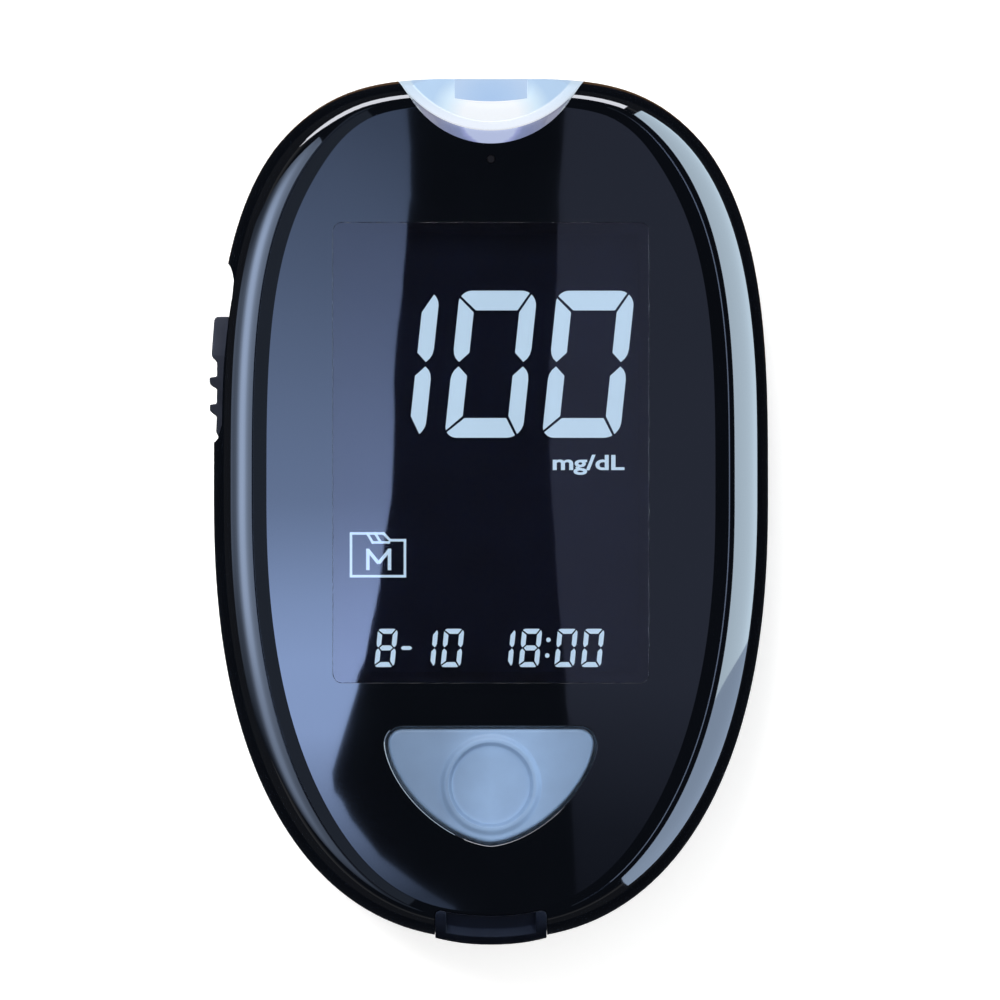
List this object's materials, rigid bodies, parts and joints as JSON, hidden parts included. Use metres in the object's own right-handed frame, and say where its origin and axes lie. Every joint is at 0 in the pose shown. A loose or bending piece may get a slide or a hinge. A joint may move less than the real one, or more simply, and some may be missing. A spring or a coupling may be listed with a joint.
{
  "type": "blood glucose meter",
  "caption": "Hand-held blood glucose meter: egg-shaped glossy black case with a lit strip port, a tall display window, a half-moon button and a side strip ejector.",
  "frame": {"origin": "under the middle of the meter's length, on the flat rest face of its back, in the symmetry plane of its outline", "axes": "+Z points out of the display, +Y to the strip port, +X to the right of the display"},
  "size_m": [0.0619, 0.096, 0.026],
  "materials": {
    "case_gloss": "polished black ABS",
    "case_satin": "fine-textured black ABS",
    "lens_clear": "polished clear acrylic",
    "display_glass": "black negative display glass",
    "display_segments": "lit display segments",
    "port_light": "milky translucent acrylic",
    "button_rubber": "blue-grey matt rubber",
    "slider_satin": "charcoal matt plastic",
    "flap_satin": "navy satin plastic",
    "set_rubber": "charcoal rubber",
    "white_plastic": "white moulded plastic",
    "board_laminate": "green solder mask",
    "chip_epoxy": "black epoxy",
    "nickel_steel": "nickel-plated steel",
    "gold_contact": "gold-plated spring bronze",
    "cell_wrap": "printed cell wrap, plain"
  },
  "bodies": {
    "case": {"back_case": "case_satin", "battery_bridge_plate": "nickel_steel", "battery_left": "cell_wrap", "battery_plate_left": "nickel_steel", "battery_plate_right": "nickel_steel", "battery_right": "cell_wrap", "battery_spring_left": "nickel_steel", "battery_spring_right": "nickel_steel", "board_screw_1": "nickel_steel", "board_screw_2": "nickel_steel", "board_screw_3": "nickel_steel", "buzzer": "chip_epoxy", "case_screw_1": "nickel_steel", "case_screw_2": "nickel_steel", "case_screw_3": "nickel_steel", "case_screw_4": "nickel_steel", "data_socket": "nickel_steel", "display_lens": "lens_clear", "ejector_spring": "nickel_steel", "front_case": "case_gloss", "indicator_window": "lens_clear", "lcd_backlight": "white_plastic", "lcd_contact_strip": "chip_epoxy", "lcd_panel": "display_glass", "main_board": "board_laminate", "main_chip": "chip_epoxy", "main_switch": "chip_epoxy", "port_led_left": "white_plastic", "port_led_right": "white_plastic", "port_light_guide": "port_light", "sensor_chip": "chip_epoxy", "set_switch": "chip_epoxy", "strip_connector": "chip_epoxy", "strip_contacts": "gold_contact"},
    "main_button": {"main_button": "button_rubber"},
    "ejector": {"ejector_slider": "slider_satin", "ejector_arm": "white_plastic"},
    "set_button": {"set_button": "set_rubber"},
    "battery_door": {"battery_door": "case_satin"},
    "data_port_cover": {"data_port_cover": "flap_satin"}
  },
  "joints": [
    {"name": "main_button_press", "type": "slide", "parent": "case", "child": "main_button", "axis": [0, 0, -1], "range_m": [0, 0.0006], "stiffness_N_per_m": 1500},
    {"name": "ejector_slide", "type": "slide", "parent": "case", "child": "ejector", "axis": [0, 1, 0], "range_m": [0, 0.004], "stiffness_N_per_m": 150, "deforming": ["ejector_spring"]},
    {"name": "set_button_press", "type": "slide", "parent": "case", "child": "set_button", "axis": [0, 0, 1], "range_m": [0, 0.0005], "stiffness_N_per_m": 1500},
    {"name": "battery_door_swing", "type": "hinge", "parent": "case", "child": "battery_door", "pos_m": [0, 0.01505, 0], "axis": [1, 0, 0], "range_deg": [0, 80]},
    {"name": "data_port_cover_swing", "type": "hinge", "parent": "case", "child": "data_port_cover", "pos_m": [0, -0.0466, 0.0086], "axis": [1, 0, 0], "range_deg": [0, 80]}
  ]
}
